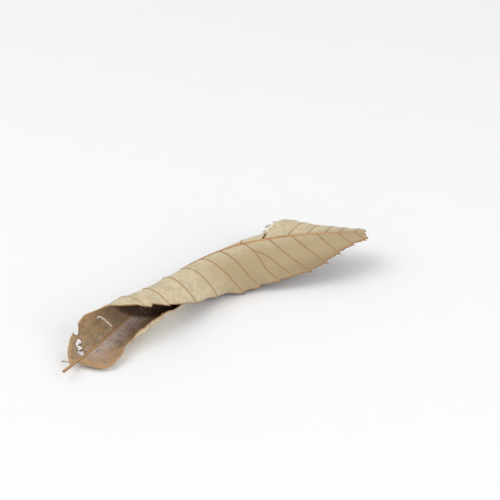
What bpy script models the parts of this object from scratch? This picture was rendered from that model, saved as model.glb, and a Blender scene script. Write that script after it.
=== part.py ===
"""A dried oak leaf that has curled lengthwise into a loose roll, with its stalk end open and face up,
one side torn in to the midrib, and the tip torn off. Seen from above it shows its pale underside."""

import math

import bpy
import numpy as np
from mathutils import Vector

# Sizes are in millimetres on the leaf laid flat and are scaled to metres as the mesh is made.
# x runs along the midrib from the foot of the blade, y out from it, left or right.
MM = 0.001
LENGTH = 142.0
STALK = 7.0
BLADE = 0.6
LEFT_VEINS = (4, 9, 15, 23, 32.5, 43, 53.5, 63.5, 73, 81.7, 92, 101.8, 111.2, 121.4, 129.7, 136.6)
RIGHT_VEINS = (5, 10, 16, 23, 32.5, 41, 51, 61, 71, 81, 91, 100.6, 109.8, 117.8, 124.8, 130.8, 136.6)

# Half widths of the two halves, as (x, millimetres).
LEFT_WIDTH = ((0, 1), (3, 4), (8, 7.5), (15, 13), (28, 20.5), (50, 21.5), (75, 20.5), (100, 16),
              (120, 10.5), (142, 3.5))
RIGHT_WIDTH = ((0, 0), (2.4, 0.5), (3.6, 7), (5.5, 10.3), (12, 12.9), (20, 12.9), (28, 14.3), (50, 15),
               (75, 18.6), (100, 14), (110, 11.5), (120, 10), (142, 6.5))

# Side veins leave the midrib square at the foot of the leaf and lean forward more towards the tip.
VEIN_LEAN = ((0, 0), (25, 0.02), (50, 0.08), (60, 0.12), (73, 0.3), (92, 0.38), (102, 0.53), (112, 0.5),
             (121, 0.27), (142, 0.33))
VEIN_BEND = ((0, 0), (25, 0.004), (50, 0.003), (60, 0.01), (73, 0.015), (92, 0.015), (102, 0.026),
             (112, 0.029), (121, 0.043), (142, 0.037))

# The midrib's course, in degrees: heading on the floor, climb, and how far the leaf has rolled over.
HEADING = ((0, 33), (15, 22), (30, 17.5), (50, 15.5), (75, -2), (100, -18.5), (142, -24))
CLIMB = ((0, -11), (15, 3), (30, 10.5), (42, 16), (60, 11), (80, 7), (100, 2), (142, -7))
ROLL = ((0, 8), (15, 29), (30, 40), (50, 91), (75, 150), (100, 186), (142, 174))

# Curl across the blade in degrees a millimetre, as (x, by the midrib, half way, at the edge).
LEFT_CURL = ((0, 1.5, 2.5, 2), (15, 6.5, 6, 6), (30, 7, 8.5, 7.5), (50, 7.5, 9.5, 6.5),
             (75, 8, 7, 5), (100, 5, 4, 3.5), (142, 4, 3, 3))
RIGHT_CURL = ((0, 0, 1.5, 2), (15, 4.5, 8, 8), (30, 5.5, 12, 14), (50, 8, 13, 14),
              (75, 9, 9, 6), (100, 5.5, 7, 6), (142, 5, 6, 6))
FLAP_CURL = ((95, -2.5, -0.5, 3), (108, 0, 2, 9), (120, 1.5, 4, 11), (142, 3.5, 6, 10))
CURL_SPAN = 25.0

# The tear runs in along a side vein of the right half, and the strip between these two stays out.
TEAR = (99.4, 100.6)

# Midrib and stalk: radius and half width of the thick strip, at the stalk's end and at the tip.
RIB_RADIUS = (0.95, 0.5)
RIB_EDGE = (0.95, 0.7)
STALK_FLARE = 0.2

# Raised side veins, the blade's swell between them, and the teeth where they end.
COLUMN_SHARES = (0.0, 0.1, 0.3, 0.6, 0.88)
VEIN_RELIEF = (-0.2, -0.06, 0.03, 0.04, -0.04)
TOOTH_SHAPE = (0.7, -0.25, -0.1, 0.0, 0.2)
TOOTHLESS, FULL_TEETH = 20.0, 34.0
EDGE_WAVE = (0.45, 0.45, 0.15)  # left, right, flap
ROW_STEP = 2.0
RAGGED = 0.5  # how far the points of a torn edge stray
NEAR = 0.35  # columns of the two halves that leave the midrib this close together share one row

# Insect damage near the foot of the left half: two holes and a bite, as (x, y, radius along x, along y).
HOLES = ((10.9, 5.1, 0.95, 1.35), (8.4, 1.9, 1.0, 0.95))
BITE = (11.4, 10.8, 1.9, 3.1)

# Where the foot of the blade stands, and the height under which the lower skin is flat on the floor.
START = (-64.75, -9.8, 3.2)
FLAT = 0.6

LEFT, RIGHT, FLAP = 0, 1, 2


def through(knots, x, column=1):
    """A smooth curve through (x, value, ...) knots: cubic pieces with averaged slopes."""
    table = np.array(knots, float)
    xs, values = table[:, 0], table[:, column]
    slopes = np.gradient(values, xs)
    x = np.clip(x, xs[0], xs[-1])
    i = np.clip(np.searchsorted(xs, x, side="right") - 1, 0, len(xs) - 2)
    h = xs[i + 1] - xs[i]
    u = (x - xs[i]) / h
    return ((2 * u**3 - 3 * u**2 + 1) * values[i] + (u**3 - 2 * u**2 + u) * h * slopes[i]
            + (3 * u**2 - 2 * u**3) * values[i + 1] + (u**3 - u**2) * h * slopes[i + 1])


def along(x, ends):
    """A value that goes straight from the stalk's end to the tip."""
    return np.interp(x, (-STALK, LENGTH), ends)


def midrib_frames(x):
    """Points of the midrib at x, and the directions across the unrolled leaf and up from it."""
    xs = np.linspace(-STALK, LENGTH, 1491)
    heading, climb = np.radians(through(HEADING, xs)), np.radians(through(CLIMB, xs))
    ahead = np.stack((np.cos(climb) * np.cos(heading), np.cos(climb) * np.sin(heading), np.sin(climb)), 1)
    steps = (ahead[1:] + ahead[:-1]) / 2 * (xs[1] - xs[0])
    line = np.vstack((np.zeros(3), np.cumsum(steps, axis=0)))
    line += np.array(START) - line[np.argmin(abs(xs))]
    across = np.stack((-np.sin(heading), np.cos(heading), 0 * heading), 1)
    up = np.cross(ahead, across)
    return [np.stack([np.interp(x, xs, f[:, k]) for k in range(3)], 1) for f in (line, across, up)]


def curl(side, x, y):
    """Curl in degrees a millimetre at distance y from the midrib."""
    knots = (LEFT_CURL, RIGHT_CURL, FLAP_CURL)[side]
    near, half, edge = (through(knots, x, column) for column in (1, 2, 3))
    share = np.clip(2 * y / CURL_SPAN, 0, 2.8)
    return np.where(share < 1, near + (half - near) * share, half + (edge - half) * (share - 1))


def rolled(side, x, y):
    """Where a point of the flat leaf lies once it has rolled up: the sum of short steps across the blade."""
    point, across, up = midrib_frames(x)
    steps = 40
    turn = np.zeros(len(x))
    sense = -1 if side else 1
    start = np.radians(through(ROLL, x)) + (math.pi if side else 0)
    step = y / steps
    for n in range(steps):
        angle = start + sense * turn
        turn_here = np.radians(curl(side, x, step * (n + 0.5))) * step
        angle = angle + sense * turn_here / 2
        point = point + (np.cos(angle) * step)[:, None] * across + (np.sin(angle) * step)[:, None] * up
        turn += turn_here
    return point


def lead(a, y):
    """How far forward a side vein rooted at a has run by the time it is y out."""
    return through(VEIN_LEAN, a) * y + through(VEIN_BEND, a) * y * y


def veins(side):
    return LEFT_VEINS if side == LEFT else RIGHT_VEINS


def vein_share(side, a):
    """How far a lies from its side vein towards the next one, from 0 to 1."""
    roots = np.array((-1.0,) + veins(side) + (LENGTH + 1.5,))
    i = np.clip(np.searchsorted(roots, a + 1e-6, side="right") - 1, 0, len(roots) - 2)
    return (a - roots[i]) / (roots[i + 1] - roots[i])


def by_share(side, a, values):
    return np.interp(vein_share(side, a), COLUMN_SHARES + (1.0,), values + (values[0],))


def margin(side, a):
    """The toothed edge's distance from the midrib on the vein rooted at a."""
    width = through(LEFT_WIDTH if side == LEFT else RIGHT_WIDTH, a)
    teeth = np.clip((a - TOOTHLESS) / (FULL_TEETH - TOOTHLESS), 0, 1)
    return width + teeth * by_share(side, a, TOOTH_SHAPE)


def column_roots(side):
    """Where a half's columns leave the midrib: on each side vein, between them, and on the tear's lips."""
    roots = [0.0, 1.3, 2.6]
    ends = veins(side) + (LENGTH + 1.5,)
    for root, after in zip(ends, ends[1:]):
        roots += [root + share * (after - root) for share in COLUMN_SHARES]
    lips = TEAR if side == RIGHT else ()
    roots = [a for a in roots if a < LENGTH - 1.5 and all(abs(a - lip) > 0.6 for lip in lips)]
    return sorted(roots + list(lips) + [LENGTH])


def snapped(roots, marks):
    """The same roots, each moved onto the nearest mark of the other half if that is very near."""
    nearest = [min(marks, key=lambda mark: abs(mark - a)) for a in roots]
    return [mark if abs(mark - a) < NEAR else a for a, mark in zip(roots, nearest)]


class Sheet:
    """The leaf with no thickness: flat points, then triangles between them."""

    def __init__(self):
        self.points, self.triangles = [], []

    def add(self, side, x, y, relief=0.0):
        self.points.append((side, x, y, relief))
        return len(self.points) - 1

    def join(self, one, other, flip):
        """Triangles between two columns of points, always stepping along the one that lags behind."""
        i = j = 0
        while i < len(one) - 1 or j < len(other) - 1:
            one_next = self.points[one[i + 1]][2] if i < len(one) - 1 else math.inf
            other_next = self.points[other[j + 1]][2] if j < len(other) - 1 else math.inf
            if one_next < other_next:
                corners, i = (one[i], other[j], one[i + 1]), i + 1
            else:
                corners, j = (one[i], other[j], other[j + 1]), j + 1
            self.triangles.append(corners[::-1] if flip else corners)

    def pass_row(self, column, foot, flip):
        """Moves the foot of a column along the midrib, with the triangle that this opens."""
        if len(column) > 1:
            corners = (column[0], foot, column[1])
            self.triangles.append(corners[::-1] if flip else corners)
        column[0] = foot


def blade_column(sheet, side, a, first, rng):
    """A column of points from the midrib's edge to the margin, along the line of a side vein."""
    inner = float(along(a, RIB_EDGE))
    outer = float(margin(side, a))
    column = [first]
    if outer - inner < 0.3:
        return column
    ragged = RAGGED if a == LENGTH or (side == FLAP and a == TEAR[1]) else 0.0
    count = max(1, round((outer - inner) / ROW_STEP))
    for n in range(1, count + 1):
        share = n / count
        y = inner + (outer - inner) * share
        x = a + float(lead(a, y)) + ragged * rng.uniform(-1, 1)
        wave = EDGE_WAVE[side] * share**2 * (math.sin(a / 3.1 + side) + 0.6 * math.sin(a / 1.3))
        relief = float(by_share(side, a, VEIN_RELIEF)) * (1 - 0.5 * share) + wave
        column.append(sheet.add(side, x, y, relief))
    return column


def build_sheet():
    """The midrib's strip has a row of points at every column of either half. A half passes a row that
    isn't one of its own columns with a triangle that moves the foot of its last column up to that row."""
    rng = np.random.default_rng(7)
    sheet = Sheet()
    right = column_roots(RIGHT)
    left = snapped(column_roots(LEFT), right)
    rows, columns = None, {}
    for a in [-STALK, -STALK + 0.8, -4.5, -2.0] + sorted(set(left + right)):
        edge = float(along(a, RIB_EDGE))
        across = (-edge, -edge / 2, 0.0, edge / 2, edge)
        strip = [sheet.add(RIGHT if y < 0 else LEFT, a, abs(y)) for y in across]
        for k in range(4 if rows else 0):
            sheet.triangles.append((rows[k], strip[k], strip[k + 1]))
            sheet.triangles.append((rows[k], strip[k + 1], rows[k + 1]))
        rows = strip
        flap = FLAP if a > TEAR[0] + 0.1 else RIGHT
        for side, own, foot, shape in ((LEFT, left, strip[4], LEFT), (RIGHT, right, strip[0], flap)):
            if a < 0:
                continue
            before = columns.get(side)
            if a in own:
                column = blade_column(sheet, shape, a, foot, rng)
                if before and not (side == RIGHT and a == TEAR[1]):
                    sheet.join(before, column, flip=side == RIGHT)
                columns[side] = column
            elif before and not (side == RIGHT and TEAR[0] <= a < TEAR[1]):
                sheet.pass_row(before, foot, flip=side == RIGHT)
    return sheet


def normals_of(points, triangles):
    """Each point's normal, from the triangles round it by their area."""
    corners = points[triangles]
    faces = np.cross(corners[:, 1] - corners[:, 0], corners[:, 2] - corners[:, 0])
    normals = np.zeros_like(points)
    for k in range(3):
        np.add.at(normals, triangles[:, k], faces)
    return normals / np.linalg.norm(normals, axis=1)[:, None]


def half_thickness(x, y):
    """Half the blade's thickness, rising to the midrib's round section near y = 0."""
    edge = along(x, RIB_EDGE)
    radius = along(x, RIB_RADIUS) + STALK_FLARE * np.clip(1 - (x + STALK) / 1.2, 0, 1)
    share = np.clip(y / edge, 0, 1)
    return BLADE / 2 + (radius - BLADE / 2) * np.sqrt(np.clip(1 - share**2, 0, 1))


def leaf_solid():
    """Points and triangles of the closed leaf: upper face, underside and the rim between them."""
    sheet = build_sheet()
    side, x, y, relief = (np.array(values) for values in zip(*sheet.points))
    triangles = np.array(sheet.triangles)
    middle = np.empty((len(x), 3))
    for which in (LEFT, RIGHT, FLAP):
        chosen = side == which
        middle[chosen] = rolled(which, x[chosen], y[chosen])
    middle += normals_of(middle, triangles) * relief[:, None]
    normals = normals_of(middle, triangles) * half_thickness(x, y)[:, None]
    upper, under = middle + normals, middle - normals

    directed = np.vstack([triangles[:, [k, (k + 1) % 3]] for k in range(3)])
    known = set(map(tuple, directed))
    rim = [(i, j) for i, j in directed if (j, i) not in known]
    count = len(x)
    faces = [tuple(t) for t in triangles] + [(c + count, b + count, a + count) for a, b, c in triangles]
    for i, j in rim:
        faces += [(j, i, i + count), (j, i + count, j + count)]
    points = np.vstack((upper, under))
    points[points[:, 2] < FLAT, 2] = 0
    return points, faces


def material(name, colour, roughness):
    made = bpy.data.materials.new(name)
    made.use_nodes = True
    shader = made.node_tree.nodes["Principled BSDF"]
    shader.inputs["Base Color"].default_value = (*colour, 1)
    shader.inputs["Roughness"].default_value = roughness
    shader.inputs["Metallic"].default_value = 0
    return made


def mesh_object(name, points, faces):
    mesh = bpy.data.meshes.new(name)
    mesh.from_pydata([tuple(float(v) * MM for v in p) for p in points], [], faces)
    mesh.update()
    made = bpy.data.objects.new(name, mesh)
    bpy.context.collection.objects.link(made)
    return made


def cut(leaf, name, x, y, along_x, along_y):
    """A hole through the left half: an oval cutter that stands square to the blade at (x, y)."""
    flat = np.array([(x, y), (x + 0.5, y), (x, y + 0.5)])
    spot, ahead, out = (Vector(p) for p in rolled(LEFT, flat[:, 0], flat[:, 1]))
    ahead, out = (ahead - spot).normalized(), (out - spot).normalized()
    up = ahead.cross(out).normalized()
    sides, depth = 14, 2.5
    points = []
    for level in (-depth, depth):
        for n in range(sides):
            turn = 2 * math.pi * n / sides
            reach = ahead * math.cos(turn) * along_x + out * math.sin(turn) * along_y
            swell = 1 + 0.1 * math.sin(3 * turn + x)
            points.append(spot + up * level + reach * swell)
    faces = [tuple(range(sides))[::-1], tuple(range(sides, 2 * sides))]
    faces += [(n, (n + 1) % sides, (n + 1) % sides + sides, n + sides) for n in range(sides)]
    cutter = mesh_object(name, points, faces)
    cutter.hide_render = True
    cutter.display_type = "WIRE"
    boolean = leaf.modifiers.new(name, "BOOLEAN")
    boolean.operation = "DIFFERENCE"
    boolean.object = cutter


def main():
    for old in list(bpy.data.objects):
        bpy.data.objects.remove(old, do_unlink=True)
    points, faces = leaf_solid()
    leaf = mesh_object("leaf", points, faces)
    leaf.data.materials.append(material("leaf_underside", (0.49, 0.39, 0.25), 0.75))
    leaf.data.shade_smooth()
    leaf.data.set_sharp_from_angle(angle=math.radians(50))
    for number, hole in enumerate(HOLES + (BITE,)):
        cut(leaf, f"cut_{number}", *hole)


main()
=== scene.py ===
import math

import bpy
import numpy as np
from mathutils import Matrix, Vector


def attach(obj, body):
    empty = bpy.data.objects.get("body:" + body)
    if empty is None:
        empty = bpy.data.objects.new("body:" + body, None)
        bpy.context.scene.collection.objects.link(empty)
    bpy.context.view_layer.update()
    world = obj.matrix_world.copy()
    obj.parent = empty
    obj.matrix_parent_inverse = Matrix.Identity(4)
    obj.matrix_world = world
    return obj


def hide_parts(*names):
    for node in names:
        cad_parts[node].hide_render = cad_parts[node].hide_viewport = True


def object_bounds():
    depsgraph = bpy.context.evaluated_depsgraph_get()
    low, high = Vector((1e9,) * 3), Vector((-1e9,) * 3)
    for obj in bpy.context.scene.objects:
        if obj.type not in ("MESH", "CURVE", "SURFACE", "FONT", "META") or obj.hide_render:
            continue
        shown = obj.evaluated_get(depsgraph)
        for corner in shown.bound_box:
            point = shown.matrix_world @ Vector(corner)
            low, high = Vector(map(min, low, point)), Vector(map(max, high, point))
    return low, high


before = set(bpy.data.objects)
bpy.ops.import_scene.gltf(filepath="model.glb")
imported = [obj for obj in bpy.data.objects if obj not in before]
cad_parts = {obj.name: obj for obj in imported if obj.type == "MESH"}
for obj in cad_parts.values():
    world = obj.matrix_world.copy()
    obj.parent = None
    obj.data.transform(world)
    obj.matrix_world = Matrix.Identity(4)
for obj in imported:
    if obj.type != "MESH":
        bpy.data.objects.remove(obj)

# A dried oak leaf, curled into a loose roll: its stalk end lies open, brown face up, and past the middle
# it shows its pale felted underside. One side is torn in to the midrib and the tip is torn off.
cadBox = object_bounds()
mm = 0.001

# The leaf laid flat, in millimetres: x runs along the midrib from the foot of the blade and y out from it.
# A side vein rooted at a runs through (a + lead, y), so (a, y) is a place on the leaf too.
leaf = {
    "length": 142.0,
    "stalk": 7.0,
    "solid": 0.6,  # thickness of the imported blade; the fine one keeps its underside
    "leftVeins": (4, 9, 15, 23, 32.5, 43, 53.5, 63.5, 73, 81.7, 92, 101.8, 111.2, 121.4, 129.7, 136.6),
    "rightVeins": (5, 10, 16, 23, 32.5, 41, 51, 61, 71, 81, 91, 100.6, 109.8, 117.8, 124.8, 130.8, 136.6),
    "leftWidth": ((0, 1), (3, 4), (8, 7.5), (15, 13), (28, 20.5), (50, 21.5), (75, 20.5), (100, 16),
                  (120, 10.5), (142, 3.5)),
    "rightWidth": ((0, 0), (2.4, 0.5), (3.6, 7), (5.5, 10.3), (12, 12.9), (20, 12.9), (28, 14.3), (50, 15),
                   (75, 18.6), (100, 14), (110, 11.5), (120, 10), (142, 6.5)),
    # side veins leave the midrib square at the foot and lean forward more towards the tip
    "veinLean": ((0, 0), (25, 0.02), (50, 0.08), (60, 0.12), (73, 0.3), (92, 0.38), (102, 0.53), (112, 0.5),
                 (121, 0.27), (142, 0.33)),
    "veinBend": ((0, 0), (25, 0.004), (50, 0.003), (60, 0.01), (73, 0.015), (92, 0.015), (102, 0.026),
                 (112, 0.029), (121, 0.043), (142, 0.037)),
    "sags": ((53.5, 15, 1.2), (92, 13, 1.3)),  # (a, y, millimetres): veins of the left half that hang back
    "sway": 0.25,
    # the midrib's course in degrees, and how far the leaf has rolled over
    "heading": ((0, 33), (15, 22), (30, 17.5), (50, 15.5), (75, -2), (100, -18.5), (142, -24)),
    "climb": ((0, -11), (15, 3), (30, 10.5), (42, 16), (60, 11), (80, 7), (100, 2), (142, -7)),
    "roll": ((0, 8), (15, 29), (30, 40), (50, 91), (75, 150), (100, 186), (142, 174)),
    # curl across the blade in degrees a millimetre: by the midrib, half way, at the edge
    "leftCurl": ((0, 1.5, 2.5, 2), (15, 6.5, 6, 6), (30, 7, 8.5, 7.5), (50, 7.5, 9.5, 6.5),
                 (75, 8, 7, 5), (100, 5, 4, 3.5), (142, 4, 3, 3)),
    "rightCurl": ((0, 0, 1.5, 2), (15, 4.5, 8, 8), (30, 5.5, 12, 14), (50, 8, 13, 14),
                  (75, 9, 9, 6), (100, 5.5, 7, 6), (142, 5, 6, 6)),
    "flapCurl": ((95, -2.5, -0.5, 3), (108, 0, 2, 9), (120, 1.5, 4, 11), (142, 3.5, 6, 10)),
    "curlSpan": 25.0,  # how far out from the midrib the curl at the edge stands
    "start": (-64.75, -9.8, 3.2),  # where the foot of the blade stands
    "tear": (99.4, 100.6),  # its two lips, on the right half; past the tear that half is the flap
    "toothless": 20.0,  # there are no teeth before here
    "fullTeeth": 48.0,  # and they are full from here on
    "tooth": 0.7,
    "toothFalls": (1.0, 0.3),  # how soon a tooth dies away towards the foot, and towards the tip
    "baySwell": (-0.25, 0.45),  # the edge between two teeth: where it starts, and how much it gains
    "edgeWaver": (0.1, 0.06),
    "nick": (1.5, 34.4, 36.8, 48.0),  # how deep, where it starts, is deepest and ends
    "waveHeight": {"left": 0.45, "right": 0.45, "flap": 0.15},
    "waveStart": {"left": 0.0, "right": 1.0, "flap": 2.0},
    "puff": (-0.12, 0.1, -0.06),  # on a vein, half way between two, and all over
    "crumple": (0.1, 0.045),  # broad and fine
}
leafParts = ("left", "right", "flap")


def through(knots, x, column=1):
    # A smooth curve through (x, value, ...) knots: cubic pieces with averaged slopes.
    table = np.array(knots, float)
    xs, values = table[:, 0], table[:, column]
    slopes = np.gradient(values, xs)
    x = np.clip(x, xs[0], xs[-1])
    i = np.clip(np.searchsorted(xs, x, side="right") - 1, 0, len(xs) - 2)
    h = xs[i + 1] - xs[i]
    u = (x - xs[i]) / h
    return ((2 * u**3 - 3 * u**2 + 1) * values[i] + (u**3 - 2 * u**2 + u) * h * slopes[i]
            + (3 * u**2 - 2 * u**3) * values[i + 1] + (u**3 - u**2) * h * slopes[i + 1])


def rise(x, low, high):
    # 0 below low, 1 above high, and a smooth step between; it falls if low is above high.
    u = np.clip((x - low) / (high - low), 0, 1)
    return u * u * (3 - 2 * u)


def uneven(u, v, spacing, seed):
    # A smooth random field from -1 to 1: seeded values on a lattice, blended by smooth steps.
    lattice = np.random.default_rng(seed).uniform(-1, 1, (64, 64))
    u, v = np.broadcast_arrays(u / spacing + 11.3, v / spacing + 23.7)
    i, j = np.floor(u).astype(int), np.floor(v).astype(int)
    s, t = rise(u - i, 0, 1), rise(v - j, 0, 1)
    corner = [lattice[(i + di) % 64, (j + dj) % 64] for di in (0, 1) for dj in (0, 1)]
    return (corner[0] * (1 - t) + corner[1] * t) * (1 - s) + (corner[2] * (1 - t) + corner[3] * t) * s


def unit(vectors):
    return vectors / np.maximum(np.linalg.norm(vectors, axis=-1, keepdims=True), 1e-9)


def midribCourse():
    # The midrib's line is the sum of its short steps ahead, each by its heading and its climb.
    xs = np.linspace(-leaf["stalk"], leaf["length"], 1491)
    heading, climb = np.radians(through(leaf["heading"], xs)), np.radians(through(leaf["climb"], xs))
    ahead = np.stack((np.cos(climb) * np.cos(heading), np.cos(climb) * np.sin(heading), np.sin(climb)), 1)
    steps = (ahead[1:] + ahead[:-1]) / 2 * (xs[1] - xs[0])
    line = np.vstack((np.zeros(3), np.cumsum(steps, axis=0)))
    line += np.array(leaf["start"]) - line[np.argmin(abs(xs))]
    across = np.stack((-np.sin(heading), np.cos(heading), 0 * heading), 1)
    return xs, (line, across, np.cross(ahead, across))


courseX, course = midribCourse()


def midribFrames(x):
    # Points of the midrib at x, and the directions across the unrolled leaf and up from it.
    return [np.stack([np.interp(x, courseX, field[:, k]) for k in range(3)], -1) for field in course]


def rolled(part, x, y):
    # Where (x, y) lies once the leaf has rolled up: the sum of forty short steps across the blade,
    # each turned a little more than the one before by the curl. Also the direction of the last step.
    point, across, up = midribFrames(x)
    sense = 1 if part == "left" else -1
    start = np.radians(through(leaf["roll"], x)) + (0 if part == "left" else math.pi)
    near, half, edge = (through(leaf[part + "Curl"], x, column) for column in (1, 2, 3))
    steps = 40
    step = y / steps
    turn = np.zeros_like(step)
    for n in range(steps):
        share = np.clip(2 * step * (n + 0.5) / leaf["curlSpan"], 0, 2.8)
        curl = np.where(share < 1, near + (half - near) * share, half + (edge - half) * (share - 1))
        here = np.radians(curl) * step
        angle = start + sense * (turn + here / 2)
        point = point + (np.cos(angle) * step)[..., None] * across + (np.sin(angle) * step)[..., None] * up
        turn = turn + here
    angle = start + sense * turn
    return point, np.cos(angle)[..., None] * across + np.sin(angle)[..., None] * up


def lead(part, a, y):
    # How far forward a side vein rooted at a has run by the time it is y out: a curve by the vein's
    # lean and bend, with a slow sway. On the left half a few veins sag, and on the flap they run
    # straight to where the bend would have led them.
    forward = through(leaf["veinLean"], a) * y + through(leaf["veinBend"], a) * y * y
    forward = forward + leaf["sway"] * uneven(a, y, 5.5, len(part)) * rise(y, 1, 6)
    if part == "left":
        for root, out, sag in leaf["sags"]:
            forward = forward - sag * np.exp(-((a - root) / 5)**2 - ((y - out) / 5)**2)
    elif part == "flap":
        forward = forward + through(leaf["veinBend"], a) * y * (margin(part, a) - y) * rise(a, 101, 108)
    return forward


def veinsOf(part):
    return leaf["leftVeins" if part == "left" else "rightVeins"]


def veinDistance(part, a):
    # How far a lies past the nearest vein root, or before it as less than 0; its share of the way to the
    # next root; and the number of the bay between the two.
    roots = np.array((-1.0,) + veinsOf(part) + (leaf["length"] + 1.5,))
    i = np.clip(np.searchsorted(roots, a + 1e-6, side="right") - 1, 0, len(roots) - 2)
    past, left = a - roots[i], a - roots[i + 1]
    return np.where(past < -left, past, left), past / (roots[i + 1] - roots[i]), i


def margin(part, a):
    # The edge's distance from the midrib: it swells from vein to vein, and each vein ends in a tooth
    # that rises slowly and drops at once on the side of the tip. The left one has a nick.
    width = through(leaf["leftWidth" if part == "left" else "rightWidth"], a)
    off, share = veinDistance(part, a)[:2]
    tooth = np.exp(-np.abs(off) / np.where(off < 0, *leaf["toothFalls"]))
    low, gain = leaf["baySwell"]
    swell = (low + gain * share) * (1 - tooth) + leaf["tooth"] * tooth
    toothed = np.clip((a - leaf["toothless"]) / (leaf["fullTeeth"] - leaf["toothless"]), 0, 1)
    slow, quick = leaf["edgeWaver"]
    fine = slow * np.sin(a * 1.9 + len(part)) + quick * np.sin(a * 4.3)
    nick = leaf["nick"] if part == "left" else (0, 0, 1, 2)
    broken = nick[0] * rise(a, nick[1], nick[2]) * rise(a, nick[3], nick[2])
    return width + toothed * swell + fine * rise(a, 2, 8) - broken


def relief(part, a, y):
    # How far the sheet stands off the smooth roll, towards the brown face: low along each vein, higher
    # between, a wave that grows towards the edge, and the small unevenness of a dried leaf.
    share = np.clip(y / np.maximum(margin(part, a), 0.5), 0, 1.05)
    off, between = veinDistance(part, a)[:2]
    phase = leaf["waveStart"][part]
    wave = leaf["waveHeight"][part] * share**2 * (np.sin(a / 3.1 + phase) + 0.6 * np.sin(a / 1.3))
    onVein, halfWay, allOver = leaf["puff"]
    puff = onVein * np.exp(-np.abs(off) / 0.9) + halfWay * np.sin(math.pi * between) + allOver
    broad, fine = leaf["crumple"]
    crumple = broad * uneven(a, y + 40 * phase, 3.4, 5) + fine * uneven(a, y + 40 * phase, 1.3, 6)
    return puff * (1 - 0.5 * share) * rise(y, 0.2, 1.4) + wave + crumple * rise(y, 0.5, 3)


def sheetAt(part, a, y):
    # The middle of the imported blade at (a, y), and the direction out of its brown face.
    x = a + lead(part, a, y)
    here, out = rolled(part, x, y)
    ahead = rolled(part, x + 0.02, y)[0] - here
    normal = unit(np.cross(ahead, out)) * (1 if part == "left" else -1)
    return here + normal * relief(part, a, y)[..., None], normal


def settled(points):
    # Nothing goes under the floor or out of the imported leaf's box: a height near 0 is eased up to a
    # little above it, and what is left past the box is drawn in to its sides.
    low = 0.1
    points[..., 2] = (points[..., 2] + np.sqrt(points[..., 2]**2 + low**2)) / 2
    return np.clip(points, np.array(cadBox[0]) / mm, np.array(cadBox[1]) / mm)


def addMesh(name, points, faces, materials, uvs=None, slots=None, fields=None, flat=False):
    # points in millimetres; faces are lists of corner numbers; uvs and fields hold a value for each point.
    mesh = bpy.data.meshes.new(name)
    mesh.from_pydata((points * mm).tolist(), [], faces)
    for material in materials:
        mesh.materials.append(material)
    if slots is not None:
        mesh.polygons.foreach_set("material_index", np.asarray(slots, np.int32))
    corners = np.empty(len(mesh.loops), np.int32)
    mesh.loops.foreach_get("vertex_index", corners)
    if uvs is not None:
        mesh.uv_layers.new(name="leafPlace").data.foreach_set("uv", uvs[corners].astype(np.float32).ravel())
    for key, values in (fields or {}).items():
        mesh.attributes.new(key, "FLOAT", "POINT").data.foreach_set("value", values.astype(np.float32))
    if not flat:
        mesh.shade_smooth()
    mesh.update()
    piece = bpy.data.objects.new(name, mesh)
    bpy.context.scene.collection.objects.link(piece)
    return piece


def closed(quads, count):
    # The faces of a closed sheet whose upper skin has count points and whose lower skin repeats them:
    # the quads, the quads again turned over, and a rim on every edge that only one quad has.
    directed = np.concatenate([quads[:, [k, (k + 1) % 4]] for k in range(4)])
    code, back = directed[:, 0] * count + directed[:, 1], directed[:, 1] * count + directed[:, 0]
    rim = directed[~np.isin(code, back)]
    rimFaces = np.stack((rim[:, 1], rim[:, 0], rim[:, 0] + count, rim[:, 1] + count), 1)
    slots = np.repeat((0, 1, 2), (len(quads), len(quads), len(rimFaces)))
    return np.vstack((quads, quads[:, ::-1] + count, rimFaces)).tolist(), slots


def gridQuads(columns, rows):
    number = np.arange(columns * rows).reshape(columns, rows)
    return np.stack((number[:-1, :-1], number[1:, :-1], number[1:, 1:], number[:-1, 1:]), -1).reshape(-1, 4)


# Blade: left half, right half up to the tear, and the flap past it

blade = {
    "thickness": 0.28,
    "pitch": 0.42,  # between the mesh's columns, along the midrib
    "finePitch": 0.24,  # the same where the insects fed
    "fineUntil": 14.0,
    "besideVein": (0.13, 0.32, 0.56),  # extra columns on both sides of each vein
    "rows": {"left": 64, "right": 50, "flap": 46},
    "reach": {"left": (0.0, 142.0), "right": (0.0, 100.0), "flap": (100.0, 142.0)},
    # ovals as (x, y, radius along x, radius along y)
    "holes": ((10.95, 5.1, 1.15, 0.97), (9.65, 4.5, 0.45, 0.9), (9.75, 3.2, 1.0, 0.95),
              (8.55, 1.55, 1.2, 1.15)),
    "crumb": (10.6, 4.25, 0.8, 0.3),  # a bit of blade that is left between two of the holes
    "bite": (11.75, 10.8, 1.6, 3.1),
    "ribReach": 0.8,  # the tear stops this far from the midrib
    "ragged": 0.45,
    "ovalWaver": (0.09, 0.04),
    "tipShort": 1.3,  # how far before the blade's full length it is torn off
    "tipRagged": 1.2,
    "tipSlant": 0.35,  # of the torn tip, on the left half
    "bead": (0.1, 0.22, 0.2),  # along the margin: its height, how far in it is, and its width
    "probe": 0.02,  # millimetres over which the slope of the missing field is measured
    "leastSlope": 0.2,
    "longestMove": 0.25,  # of a border corner in one step
    "stopShort": 0.06,  # the share of its way to the leaf's end that a border corner leaves out
}


def ovalLevel(x, y, spot):
    # About the distance inside an uneven oval, less than 0 outside it.
    far = np.sqrt(((x - spot[0]) / spot[2])**2 + ((y - spot[1]) / spot[3])**2 + 1e-9)
    turn = np.arctan2(y - spot[1], x - spot[0])
    slow, quick = blade["ovalWaver"]
    return (1 + slow * np.sin(3 * turn + spot[0]) + quick * np.sin(7 * turn) - far) * min(spot[2:])


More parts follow.
